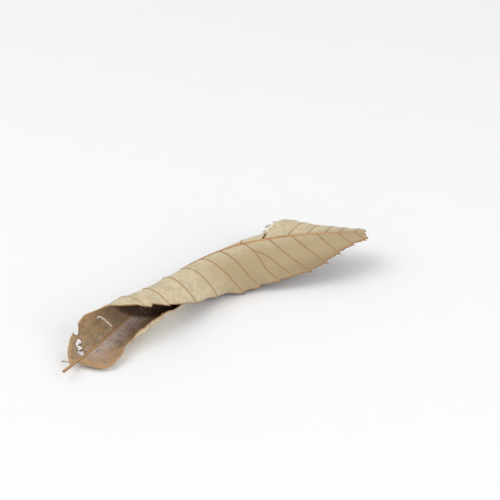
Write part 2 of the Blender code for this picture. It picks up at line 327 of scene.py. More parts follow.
def missing(part, a, y):
    # About how far a place lies inside a gap of the leaf, less than 0 on the leaf. The gaps are the
    # holes and the bite, the tear between its ragged lips, and all past the torn tip.
    x = a + lead(part, a, y)
    line = 0 * y + len(part)
    jag = blade["ragged"] * (uneven(y, line, 1.7, 11) + 0.5 * uneven(y, line, 0.55, 12))
    beyondRib = (y - blade["ribReach"]) * 3
    slant = blade["tipSlant"] * y if part == "left" else 0
    gone = a - leaf["length"] + blade["tipShort"] + blade["tipRagged"] * jag + slant
    if part == "left":
        eaten = [ovalLevel(x, y, spot) for spot in blade["holes"] + (blade["bite"],)]
        gone = np.maximum(gone, np.minimum(np.maximum.reduce(eaten), -ovalLevel(x, y, blade["crumb"])))
    elif part == "right":
        gone = np.maximum(gone, np.minimum(a - leaf["tear"][0] - jag, beyondRib))
    else:
        gone = np.maximum(gone, np.minimum(leaf["tear"][1] - 0.15 + 0.4 * jag - a, beyondRib))
    return gone


def columnRoots(part):
    # Columns on every vein, close together beside it and even between, all along the part's reach.
    first, last = blade["reach"][part]
    marks = sorted({first, last} | {float(root) for root in veinsOf(part) if first < root < last})
    roots = [last]
    for start, end in zip(marks, marks[1:]):
        near = [d for d in blade["besideVein"] if 2 * d < end - start - 0.2]
        inset = near[-1] if near else 0.0
        pitch = blade["finePitch"] if end < blade["fineUntil"] else blade["pitch"]
        count = max(2, math.ceil((end - start - 2 * inset) / pitch) + 1)
        roots += [start] + [start + d for d in near] + [end - d for d in near]
        roots += list(np.linspace(start + inset, end - inset, count))
    return np.unique(np.round(roots, 3))


def keptGrid(part):
    # A grid of columns and of even rows from the midrib to the margin. A quad is kept where its middle
    # isn't missing, and the corners on the border of what is kept move to where the leaf ends, by a few
    # Newton steps down the slope of the missing field. They stop a little short of it.
    roots, rows = columnRoots(part), blade["rows"][part]
    share = np.append(np.linspace(0, 0.985, rows - 1), 1.0)
    a = np.repeat(roots, rows)
    y = (share[None, :] * np.maximum(margin(part, roots), 0.3)[:, None]).ravel()
    quads = gridQuads(len(roots), rows)
    keep = missing(part, a[quads].mean(1), y[quads].mean(1)) < 0
    inKept, inDropped = np.zeros(a.size, bool), np.zeros(a.size, bool)
    inKept[quads[keep]] = True
    inDropped[quads[~keep]] = True
    border = inKept & inDropped
    probe, short, longest = blade["probe"], blade["stopShort"], blade["longestMove"]
    gridA, gridY = a[border], y[border]
    for _ in range(3):
        atA, atY = a[border], y[border]
        level = missing(part, atA, atY)
        slopeA = (missing(part, atA + probe, atY) - level) / probe
        slopeY = (missing(part, atA, atY + probe) - level) / probe
        steep = np.maximum(slopeA**2 + slopeY**2, blade["leastSlope"])
        move = np.clip(level / steep, -longest, longest)
        a[border] = atA - move * slopeA
        y[border] = np.maximum(atY - move * slopeY, 0)
    a[border] += short * (gridA - a[border])
    y[border] += short * (gridY - y[border])
    used = np.unique(quads[keep])
    renumber = np.zeros(a.size, int)
    renumber[used] = np.arange(len(used))
    return a[used], y[used], renumber[quads[keep]]


# One side vein of the left half is forked: its branch bends away at once and then runs beside it.
fork = {"root": 92.0, "from": 4.6, "gap": 4.6, "bend": 3.0}


def forkRoot(y):
    return fork["root"] + fork["gap"] * (1 - np.exp(-np.maximum(y - fork["from"], 0) / fork["bend"]))


def buildBlade(part, materials):
    # Two skins a blade's thickness apart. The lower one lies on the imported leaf's underside. The margin
    # has a slight bead, and every edge thins to half.
    a, y, quads = keptGrid(part)
    if part != "left":
        quads = quads[:, ::-1]
    sheet, normal = sheetAt(part, a, y)
    toMargin, toTorn = margin(part, a) - y, -missing(part, a, y)
    toEdge = np.clip(np.minimum(toMargin, toTorn), 0, 6)
    height, inFrom, width = blade["bead"]
    bead = height * np.exp(-((toMargin - inFrom) / width)**2) * rise(toTorn, 0.3, 0.8)
    thick = blade["thickness"] * (0.5 + 0.5 * rise(toEdge, 0, 0.3))
    under = sheet - normal * (leaf["solid"] / 2 - (blade["thickness"] - thick) / 2)[:, None]
    upper = under + normal * (thick + bead)[:, None]
    faces, slots = closed(quads, len(a))
    off, _, bay = veinDistance(part, a)
    if part == "left":
        off = np.minimum(np.abs(off), np.where(y > fork["from"], np.abs(a - forkRoot(y)), 9))
    signed = y if part == "left" else -y
    fields = {"veinOff": np.abs(off), "ribOff": y, "marginOff": np.clip(toMargin, 0, 6),
              "tornOff": np.clip(toTorn, 0, 6), "along": a, "outward": signed, "bay": bay * 0.618 % 1}
    fields = {key: np.tile(values, 2) for key, values in fields.items()}
    uvs = np.tile(np.stack((a / 10, signed / 10), 1), (2, 1))
    return addMesh(part + "Blade", settled(np.vstack((upper, under))), faces, materials, uvs, slots, fields)


# Tubes: midrib, side veins and threads

def tube(centres, normals, sides, ring):
    # A closed ring carried along a path. ring(angle) gives its width and height for every place on the
    # path, and it stands square to the path with its height along the given normals. v runs from the
    # top of the ring down both of its sides.
    side = unit(np.cross(normals, unit(np.gradient(centres, axis=0))))
    up = np.cross(unit(np.gradient(centres, axis=0)), side)
    angle = np.arange(sides) * 2 * math.pi / sides
    wide, high = ring(angle[None, :])
    points = centres[:, None] + side[:, None] * wide[..., None] + up[:, None] * high[..., None]
    number = np.arange(len(centres) * sides).reshape(-1, sides)
    after = np.roll(number, -1, 1)
    faces = np.stack((number[:-1], after[:-1], after[1:], number[1:]), -1).reshape(-1, 4).tolist()
    faces += [number[0][::-1].tolist(), number[-1].tolist()]
    lengths = np.append(0, np.cumsum(np.linalg.norm(np.diff(centres, axis=0), axis=1)))
    fromTop = np.abs((angle - 1.5 * math.pi) % (2 * math.pi) - math.pi) / math.pi
    uvs = np.stack((np.repeat(lengths / 10, sides), np.tile(fromTop, len(centres))), 1)
    return points.reshape(-1, 3), faces, uvs


def joined(tubes):
    # Several tubes as the points, faces and uvs of one mesh.
    points, faces, uvs, count = [], [], [], 0
    for tubePoints, tubeFaces, tubeUvs in tubes:
        points.append(tubePoints)
        uvs.append(tubeUvs)
        faces += [[corner + count for corner in face] for face in tubeFaces]
        count += len(tubePoints)
    return np.vstack(points), faces, np.vstack(uvs)


midrib = {
    "sides": 20,
    "pitch": 0.35,
    # half width, height above the middle of the blade, and depth below it, as (x, width, height, depth)
    "section": ((-7, 0.58, 0.5, 0.6), (-6, 0.56, 0.48, 0.6), (-3, 0.54, 0.46, 0.62), (0, 0.48, 0.4, 0.66),
                (10, 0.36, 0.26, 0.72), (30, 0.31, 0.2, 0.7), (55, 0.4, 0.2, 0.7), (75, 0.52, 0.2, 0.68),
                (100, 0.54, 0.16, 0.62), (120, 0.46, 0.12, 0.54), (141, 0.3, 0.08, 0.44)),
    "groove": 0.14,
    "ridges": 0.03,  # as shares of its width and height
    "rough": 0.05,
    "stalkShort": 0.3,  # it is this much shorter at the stalk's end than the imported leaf
    "endShort": 1.5,  # and this much at the tip
}


def buildMidrib(material):
    # An oval whose width, height and depth change along the midrib, with fine ridges, and a shallow
    # groove along the top of the stalk.
    first, last = midrib["stalkShort"] - leaf["stalk"], leaf["length"] - midrib["endShort"]
    x = np.linspace(first, last, round(leaf["length"] / midrib["pitch"]))
    sheet, normal = sheetAt("left", x, 0 * x)
    wide, high, deep = (through(midrib["section"], x, column)[:, None] for column in (1, 2, 3))

    def ring(angle):
        ridges = midrib["ridges"] * np.sin(7 * angle + 0.15 * x[:, None])
        bump = 1 + ridges + midrib["rough"] * uneven(x[:, None], 3 * angle, 1.1, 21)
        tall = np.where(np.sin(angle) > 0, high, deep) * np.sin(angle)
        top = np.exp(-(np.cos(angle) / 0.35)**2) * (np.sin(angle) > 0)
        return wide * np.cos(angle) * bump, tall * bump - midrib["groove"] * rise(x, 12, -3)[:, None] * top

    points, faces, uvs = tube(sheet, normal, midrib["sides"], ring)
    fields = {"along": np.repeat(x, midrib["sides"])}
    return addMesh("midrib", settled(points), faces, [material], uvs, fields=fields)


sideVeins = {
    "sides": 8,
    "pitch": 0.45,
    "radius": ((0, 0.28), (0.1, 0.22), (0.5, 0.18), (0.9, 0.13), (1.0, 0.11)),  # by share of the way out
    "flapShare": 0.7,  # the flap's are this much as thick
    "sunk": 0.05,  # how far the cord's middle lies inside the underside
    "bristle": 0.5,  # how far the vein runs on past its tooth
}


def veinTube(part, root, branch=False):
    # A thin round cord half sunk in the underside, from inside the midrib to a bristle past the edge.
    # Where the insects fed, what is left of it starts past the holes.
    edge = float(margin(part, np.array(root + fork["gap"] if branch else root)))
    bristle = sideVeins["bristle"] * float(rise(root, leaf["toothless"], leaf["fullTeeth"]))
    start = fork["from"] if branch else 0.15
    if part == "left" and root < blade["fineUntil"]:
        outs = np.linspace(0, edge, 80)
        start = max([start, *outs[missing(part, root + 0 * outs, outs) > 0]])
    end = edge + bristle
    y = np.linspace(start, end, max(6, math.ceil((end - start) / sideVeins["pitch"])))
    sheet, normal = sheetAt(part, forkRoot(y) if branch else root + 0 * y, y)
    past = np.clip((y - edge) / max(bristle, 0.01), 0, 1)
    share = np.clip((y - start) / (edge - start), 0.15 if branch else 0, 1)
    radius = (through(sideVeins["radius"], share) * (1 - 0.8 * past))[:, None]
    radius = radius * (sideVeins["flapShare"] if part == "flap" else 1)
    centres = sheet - normal * (leaf["solid"] / 2 - sideVeins["sunk"])

    def ring(angle):
        return radius * np.cos(angle), radius * np.sin(angle)

    return tube(centres, normal, sideVeins["sides"], ring)


def buildSideVeins(material):
    # One for each root but that of the vein that the tear runs along.
    tubes = [veinTube("left", root) for root in leaf["leftVeins"]]
    tubes += [veinTube("flap" if root > leaf["tear"][1] else "right", root) for root in leaf["rightVeins"]
              if root != leaf["tear"][1]]
    tubes.append(veinTube("left", fork["root"], branch=True))
    points, faces, uvs = joined(tubes)
    return addMesh("sideVeins", settled(points), faces, [material], uvs)


# Threads that lie on the leaf or stand off it, each through (a, y, height over the middle of the blade).
# knob is how much one swells, where, and over how much of it, as shares from its far end
threads = {
    "sides": 8,
    "steps": 60,
    "scar": {"path": ((21.7, 8.2, 0.1), (22.2, 8.7, 0.12), (23.6, 7.7, 0.1), (25.0, 5.9, 0.12),
                      (25.8, 3.8, 0.1), (26.5, 1.8, 0.05)),
             "radius": 0.26, "beads": 0.5, "wave": 0.15},
    "bareVein": {"path": ((0.9, 0.5, -0.1), (0.5, 1.7, 0.0), (-0.13, 2.95, 0.1), (-0.67, 4.1, 0.2)),
                 "radius": 0.19, "beads": 0.15, "wave": 0.08, "knob": (0.12, 0.1, 0.12)},
    "bridge": {"path": ((10.2, 1.95, 0.0), (9.3, 2.25, 0.0), (8.5, 2.5, -0.1)),
               "radius": 0.17, "beads": 0.3, "wave": 0.08, "knob": (0.26, 0.45, 0.2)},
}


def threadTube(thread):
    # A thin uneven cord: a smooth path through its places, with a small wave sideways, beads along it
    # and one larger swelling.
    knots = [(n, *place) for n, place in enumerate(thread["path"])]
    t = np.linspace(0, len(knots) - 1, threads["steps"])
    a, y, height = (through(knots, t, column) for column in (1, 2, 3))
    a = a + thread["wave"] * uneven(4 * t, 0 * t, 1.0, 41)
    y = y + thread["wave"] * uneven(4 * t, 0 * t + 9, 1.0, 42)
    sheet, normal = sheetAt("left", a, y)
    fromEnd = (t[-1] - t) / t[-1]
    swell = 1 + thread["beads"] * uneven(9 * t, 0 * t + 3, 1.0, 43) - 0.5 * rise(fromEnd, 0.94, 1.0)
    size, place, span = thread.get("knob", (0, 0, 1))
    radius = thread["radius"] * swell + size * np.exp(-((fromEnd - place) / span)**2)
    radius = (radius * np.sqrt(np.clip(fromEnd * 25, 0.1, 1)))[:, None]

    def ring(angle):
        return radius * np.cos(angle), radius * np.sin(angle)

    return tube(sheet + normal * height[:, None], normal, threads["sides"], ring)


def buildThread(name, key, material):
    points, faces, uvs = threadTube(threads[key])
    return addMesh(name, settled(points), faces, [material], uvs)


# Torn shreds that stand in the tear, held by the flap's lip
shreds = {
    "grid": (16, 14),
    "thickness": 0.2,
    "crumple": 0.5,
    # (a where it leaves the lip, length, y, width, lift off the leaf)
    "pieces": ((101.2, 3.2, 7.2, 3.0, 0.5), (101.0, 2.6, 4.6, 2.0, 0.2), (100.9, 1.7, 9.8, 1.6, 0.3)),
}


def shred(number, root, length, y, width, lift):
    # A small tongue on the flap's surface carried on past its lip: u runs along the tongue and w across
    # it, its width falls off unevenly, and it lifts and crumples more towards its end.
    columns, rows = shreds["grid"]
    u, w = np.meshgrid(np.linspace(0, 1, columns), np.linspace(-1, 1, rows), indexing="ij")
    ragged = 1 + 0.3 * uneven(5 * u, 2 * np.sign(w) + 7 * number, 1.0, 51)
    a = root - length * u * (1 + 0.25 * uneven(0 * u, 3 * w + 5 * number, 1.0, 52))
    out = y + width / 2 * w * (1 - 0.55 * u**2) * ragged
    sheet, normal = sheetAt("flap", a, out)
    crumple = shreds["crumple"] * u * uneven(4 * u, 3 * w + 11 * number, 1.0, 53)
    middle = sheet - normal * (leaf["solid"] / 2 - 0.14 + lift * u**1.5 + crumple)[..., None]
    along, across = np.gradient(middle, axis=0), np.gradient(middle, axis=1)
    skin = unit(np.cross(along, across)) * shreds["thickness"] / 2
    points = np.concatenate(((middle + skin).reshape(-1, 3), (middle - skin).reshape(-1, 3)))
    faces = closed(gridQuads(columns, rows), columns * rows)[0]
    return points, faces, np.tile(np.stack((u.ravel(), w.ravel()), 1), (2, 1))


def buildShreds(material):
    points, faces, uvs = joined([shred(n, *piece) for n, piece in enumerate(shreds["pieces"])])
    return addMesh("tornShreds", settled(points), faces, [material], uvs)


# Hairs of the underside: short and pale all over it, and closer together beside the midrib
hairs = {
    "count": {"left": 5200, "right": 3000, "flap": 1100},
    "besideRib": 0.22,  # the share of them that stand beside the midrib
    "length": (0.16, 0.4),
    "radius": 0.013,
    "lean": 0.8,
}


def buildHairs(material):
    # Bent three-sided spikes with seven points each: a ring at the root, a ring half way, and the tip.
    # Height over the underside grows straight with the way along a hair, and its lean as the square.
    rng = np.random.default_rng(61)
    roots, outs = [], []
    for part in leafParts:
        first, last = blade["reach"][part]
        a = rng.uniform(first, last, hairs["count"][part])
        byRib = rng.random(a.size) < hairs["besideRib"]
        y = np.where(byRib, rng.uniform(0.45, 1.3, a.size), rng.uniform(0, 1, a.size) * margin(part, a))
        kept = (missing(part, a, y) < -0.15) & (y < margin(part, a) - 0.1)
        sheet, normal = sheetAt(part, a[kept], y[kept])
        roots.append(sheet - normal * (leaf["solid"] / 2 - 0.02))
        outs.append(-normal)
    root, out = np.vstack(roots), np.vstack(outs)
    length = rng.uniform(*hairs["length"], len(root))[:, None]
    side = unit(np.cross(out, rng.normal(size=root.shape)))
    other = np.cross(out, side)
    tip = root + (out + hairs["lean"] * side) * length
    low, high = np.array(cadBox[0]) / mm, np.array(cadBox[1]) / mm
    inside = ((tip > low) & (tip < high)).all(1)
    root, out, length, side, other = (values[inside] for values in (root, out, length, side, other))

    def ringAt(t, size):
        centre = root + (out * t + hairs["lean"] * side * t**2) * length
        turns = np.arange(3) * 2 * math.pi / 3
        spokes = [side * math.cos(turn) + other * math.sin(turn) for turn in turns]
        return [centre + hairs["radius"] * size * spoke for spoke in spokes]

    points = np.stack(ringAt(0, 1) + ringAt(0.5, 0.75) + ringAt(1, 0)[:1], 1)
    pattern = [(0, 1, 4, 3), (1, 2, 5, 4), (2, 0, 3, 5), (3, 4, 6), (4, 5, 6), (5, 3, 6), (2, 1, 0)]
    starts = (np.arange(len(root)) * 7).tolist()
    faces = [[start + corner for corner in face] for start in starts for face in pattern]
    return addMesh("feltHairs", points.reshape(-1, 3), faces, [material])


# Materials

def addNode(tree, kind, inputs=None, **settings):
    # A node with its settings; inputs are values, or the sockets that they come from.
    made = tree.nodes.new("ShaderNode" + kind)
    for key, value in settings.items():
        setattr(made, key, value)
    for key, value in (inputs or {}).items():
        if isinstance(value, bpy.types.NodeSocket):
            tree.links.new(value, made.inputs[key])
        else:
            made.inputs[key].default_value = value
    return made


def calculate(tree, operation, first, second=0.0):
    return addNode(tree, "Math", {0: first, 1: second}, operation=operation).outputs[0]


def times(tree, first, second):
    return calculate(tree, "MULTIPLY", first, second)


def stepMask(tree, value, low, high):
    # A mask that goes smoothly from 0 at low to 1 at high, or down if low is above high.
    down = low > high
    made = addNode(tree, "MapRange", {"Value": value, "From Min": min(low, high), "From Max": max(low, high),
                                      "To Min": 1.0 if down else 0.0, "To Max": 0.0 if down else 1.0},
                   interpolation_type="SMOOTHSTEP")
    return made.outputs["Result"]


def painted(tree, base, layers):
    # Lays each (mask, strength, colour) over what is under it. base and colour are colours or sockets.
    for mask, strength, colour in layers:
        made = addNode(tree, "Mix", data_type="RGBA")
        tree.links.new(times(tree, mask, strength), made.inputs[0])
        for socket, value in ((made.inputs[6], base), (made.inputs[7], colour)):
            if isinstance(value, tuple):
                socket.default_value = (*value, 1)
            else:
                tree.links.new(value, socket)
        base = made.outputs[2]
    return base


def fieldOf(tree, name):
    return addNode(tree, "Attribute", attribute_name=name).outputs["Fac"]


def startGroup(name, inputs, outputs):
    # A node group. Its inputs are numbers, given as name: default, or vectors, given as name: None.
    tree = bpy.data.node_groups.new(name, "ShaderNodeTree")
    for key, value in inputs.items():
        kind = "NodeSocketVector" if value is None else "NodeSocketFloat"
        socket = tree.interface.new_socket(key, in_out="INPUT", socket_type=kind)
        if value is not None:
            socket.default_value = value
    for key in outputs:
        tree.interface.new_socket(key, in_out="OUTPUT", socket_type="NodeSocketFloat")
    return tree, tree.nodes.new("NodeGroupInput"), tree.nodes.new("NodeGroupOutput")


def makeMottle():
    # Uneven tone: a broad noise and a fine one, each on its own scale.
    tree, given, out = startGroup("leafMottle", {"Place": None, "Broad": 90.0, "Fine": 900.0},
                                  ("Broad", "Fine"))
    for key, detail in (("Broad", 4.0), ("Fine", 6.0)):
        noise = addNode(tree, "TexNoise", {"Vector": given.outputs["Place"], "Scale": given.outputs[key],
                                           "Detail": detail, "Roughness": 0.6})
        tree.links.new(noise.outputs["Fac"], out.inputs[key])
    return tree


def makeNet():
    # The net of small veins. Rungs run square to the side veins, as broken lines at uneven steps that
    # start elsewhere in each bay, and fine meshes fill the rest. Place is (a, y) in centimetres.
    tree, given, out = startGroup("leafNet", {"Place": None, "Bay": 0.0, "Rungs": 7.0, "Meshes": 18.0},
                                  ("Rungs", "Meshes"))
    place = given.outputs["Place"]
    bend = addNode(tree, "TexNoise", {"Vector": place, "Scale": 1.6, "Detail": 2.0}).outputs["Fac"]
    breaks = addNode(tree, "TexNoise", {"Vector": place, "Scale": 9.0, "Detail": 1.0}).outputs["Fac"]
    outward = addNode(tree, "SeparateXYZ", {0: place}).outputs[1]
    rungs = times(tree, outward, given.outputs["Rungs"])
    steps = calculate(tree, "ADD", rungs, times(tree, given.outputs["Bay"], 7.0))
    steps = calculate(tree, "ADD", steps, times(tree, bend, 3.5))
    line = stepMask(tree, calculate(tree, "PINGPONG", steps, 0.5), 0.1, 0.0)
    tree.links.new(times(tree, line, stepMask(tree, breaks, 0.38, 0.55)), out.inputs["Rungs"])
    cells = addNode(tree, "TexVoronoi", {"Vector": place, "Scale": given.outputs["Meshes"]},
                    feature="DISTANCE_TO_EDGE", voronoi_dimensions="2D")
    tree.links.new(stepMask(tree, cells.outputs["Distance"], 0.12, 0.0), out.inputs["Meshes"])
    return tree


def makeSpecks():
    # Scattered small spots: round the points of random cells, and only in some of them.
    tree, given, out = startGroup("leafSpecks", {"Place": None, "Scale": 300.0, "Size": 0.25, "Share": 0.3},
                                  ("Spots",))
    cells = addNode(tree, "TexVoronoi", {"Vector": given.outputs["Place"], "Scale": given.outputs["Scale"]})
    near = calculate(tree, "SUBTRACT", given.outputs["Size"], cells.outputs["Distance"])
    first = addNode(tree, "SeparateColor", {0: cells.outputs["Color"]}).outputs[0]
    chosen = calculate(tree, "LESS_THAN", first, given.outputs["Share"])
    tree.links.new(times(tree, stepMask(tree, near, 0.0, 0.12), chosen), out.inputs["Spots"])
    return tree


mottle, net, specks = makeMottle(), makeNet(), makeSpecks()


def addGroup(tree, group, place, **values):
    made = addNode(tree, "Group", node_tree=group)
    tree.links.new(place, made.inputs["Place"])
    for key, value in values.items():
        if isinstance(value, bpy.types.NodeSocket):
            tree.links.new(value, made.inputs[key])
        else:
            made.inputs[key].default_value = value
    return made.outputs


def startMaterial(name, **constants):
    # A material with its shader's constants set, and the sockets of its object and map coordinates.
    made = bpy.data.materials.new(name)
    made.use_nodes = True
    tree = made.node_tree
    shader = tree.nodes["Principled BSDF"]
    for key, value in constants.items():
        shader.inputs[key.replace("_", " ")].default_value = value
    place = addNode(tree, "TexCoord")
    return made, tree, shader, place.outputs["Object"], place.outputs["UV"]


def finish(tree, shader, colour, gloss, roughness, height, bump):
    # Links the colour, the roughness as gloss goes from 0 to 1, and the height as a bump in metres.
    tree.links.new(colour, shader.inputs["Base Color"])
    rough = addNode(tree, "MapRange", {"Value": gloss, "To Min": roughness[0], "To Max": roughness[1]})
    tree.links.new(rough.outputs["Result"], shader.inputs["Roughness"])
    made = addNode(tree, "Bump", {"Height": height, "Strength": bump[0], "Distance": bump[1]})
    tree.links.new(made.outputs["Normal"], shader.inputs["Normal"])


felt = {
    "colour": (0.665, 0.575, 0.385),
    "warm": (0.655, 0.53, 0.325),
    "grey": (0.54, 0.47, 0.345),
    "light": (0.78, 0.69, 0.49),
    # the next two colours are painted shade: over the roll's lower side, and deeper along its edge near the
    # tip
    "paintedShade": (0.43, 0.33, 0.19),
    "paintedDeepShade": (0.31, 0.23, 0.13),
    "grain": (0.44, 0.35, 0.20),
    "vein": (0.38, 0.235, 0.125),
    "edge": (0.33, 0.18, 0.085),
    "torn": (0.56, 0.36, 0.18),
    "speck": (0.24, 0.15, 0.08),
    "slant": 0.13,  # how much nearer the border of the painted shade comes with each millimetre along the leaf
    # where the painted shade and the deeper painted shade set in: millimetres out, with the slant, and along
    "paintedShadeAt": ((10.5, 20.0), (56.0, 78.0)),
    "paintedDeepShadeAt": ((22.8, 27.0), (88.0, 104.0)),
}


def makeFelt():
    # The pale underside: short felt over a net of small veins, browner beside the veins and the edge,
    # with painted shade over the roll's lower side, deeper near its edge towards the tip.
    made, tree, shader, place, uv = startMaterial("feltUnderside", Sheen_Weight=0.12, Sheen_Roughness=0.5,
                                                  Specular_IOR_Level=0.25)
    tone = addGroup(tree, mottle, place, Broad=80.0, Fine=1500.0)
    veins = addGroup(tree, net, uv, Bay=fieldOf(tree, "bay"), Rungs=7.0, Meshes=20.0)
    spots = addGroup(tree, specks, place, Scale=430.0, Size=0.2, Share=0.16)
    patches = addNode(tree, "TexNoise", {"Vector": place, "Scale": 170.0, "Detail": 3.0}).outputs["Fac"]
    blots = addGroup(tree, mottle, place, Broad=560.0, Fine=2600.0)
    toMargin, toTorn = fieldOf(tree, "marginOff"), fieldOf(tree, "tornOff")
    along = fieldOf(tree, "along")
    slanted = calculate(tree, "ADD", fieldOf(tree, "outward"), times(tree, along, felt["slant"]))
    paintedShadeOut, paintedShadeAlong = felt["paintedShadeAt"]
    paintedDeepShadeOut, paintedDeepShadeAlong = felt["paintedDeepShadeAt"]
    # masks of the painted shade: out past a slanted line, and far enough along the leaf
    paintedShadeMask = times(tree, stepMask(tree, slanted, *paintedShadeOut), stepMask(tree, along, *paintedShadeAlong))
    paintedDeepShadeMask = times(tree, stepMask(tree, slanted, *paintedDeepShadeOut), stepMask(tree, along, *paintedDeepShadeAlong))
    colour = painted(tree, felt["colour"], (
        (stepMask(tree, tone["Broad"], 0.38, 0.66), 0.8, felt["warm"]),
        (stepMask(tree, patches, 0.46, 0.62), 0.6, felt["grey"]),
        (stepMask(tree, blots["Broad"], 0.48, 0.62), 0.3, felt["grain"]),
        (stepMask(tree, blots["Broad"], 0.5, 0.36), 0.3, felt["light"]),
        # painted shade over the roll's lower side, then deeper painted shade along its edge towards the tip
        (paintedShadeMask, 0.95, felt["paintedShade"]),
        (paintedDeepShadeMask, 0.7, felt["paintedDeepShade"]),
        (stepMask(tree, tone["Fine"], 0.38, 0.66), 0.3, felt["grain"]),
        (veins["Meshes"], 0.07, felt["vein"]),
        (veins["Rungs"], 0.17, felt["vein"]),
        (stepMask(tree, fieldOf(tree, "veinOff"), 0.8, 0.15), 0.3, felt["vein"]),
        (stepMask(tree, fieldOf(tree, "ribOff"), 1.0, 0.45), 0.25, felt["vein"]),
        (stepMask(tree, toMargin, 1.6, 0.2), 0.25, felt["vein"]),
        (stepMask(tree, toMargin, 0.6, 0.25), 0.9, felt["edge"]),
        (stepMask(tree, toTorn, 0.5, 0.1), 0.45, felt["torn"]),
        (spots["Spots"], 0.4, felt["speck"]),
    ))
    height = calculate(tree, "ADD", times(tree, tone["Fine"], 0.6), times(tree, veins["Rungs"], 0.4))
    finish(tree, shader, colour, tone["Fine"], (0.8, 0.98), height, (0.4, 0.00015))
    return made


skin = {
    "colour": (0.42, 0.29, 0.17),
    "olive": (0.33, 0.245, 0.13),
    "russet": (0.55, 0.325, 0.16),
    "umber": (0.25, 0.165, 0.10),
    # a painted reflection: the grey sheen of the waxy face, laid in as colour
    "paintedSheen": (0.60, 0.495, 0.44),
    "tan": (0.68, 0.465, 0.265),
    "edge": (0.60, 0.30, 0.105),
    # painted shade: the dark colour where the leaf is rolled in
    "deep": (0.07, 0.031, 0.018),
    "speck": (0.15, 0.09, 0.055),
    "vein": (0.36, 0.22, 0.11),
    "burn": (0.13, 0.055, 0.04),
    "stainAt": (2.1, -0.68, 0.0),  # a dark stain, at (a, y) in centimetres
    "wobble": 9.0,  # millimetres that the borders of its patches wander over
    "paintedSheenOut": (-7.5, -2.5),  # where the painted sheen sets in, in millimetres out, less than 0 on the right
    "paintedSheenAlong": (6.0, 13.0),
    # The shade of the roll sets in along a slanted line. These are its slant on the right, its slant on the
    # left, and how far out on the left it is slanted.
    "shadeSlant": (0.95, 0.6, 8.0),
    "halfShade": (24.0, 33.0),  # millimetres along, on the midrib
    "fullShade": (34.0, 36.4),
}


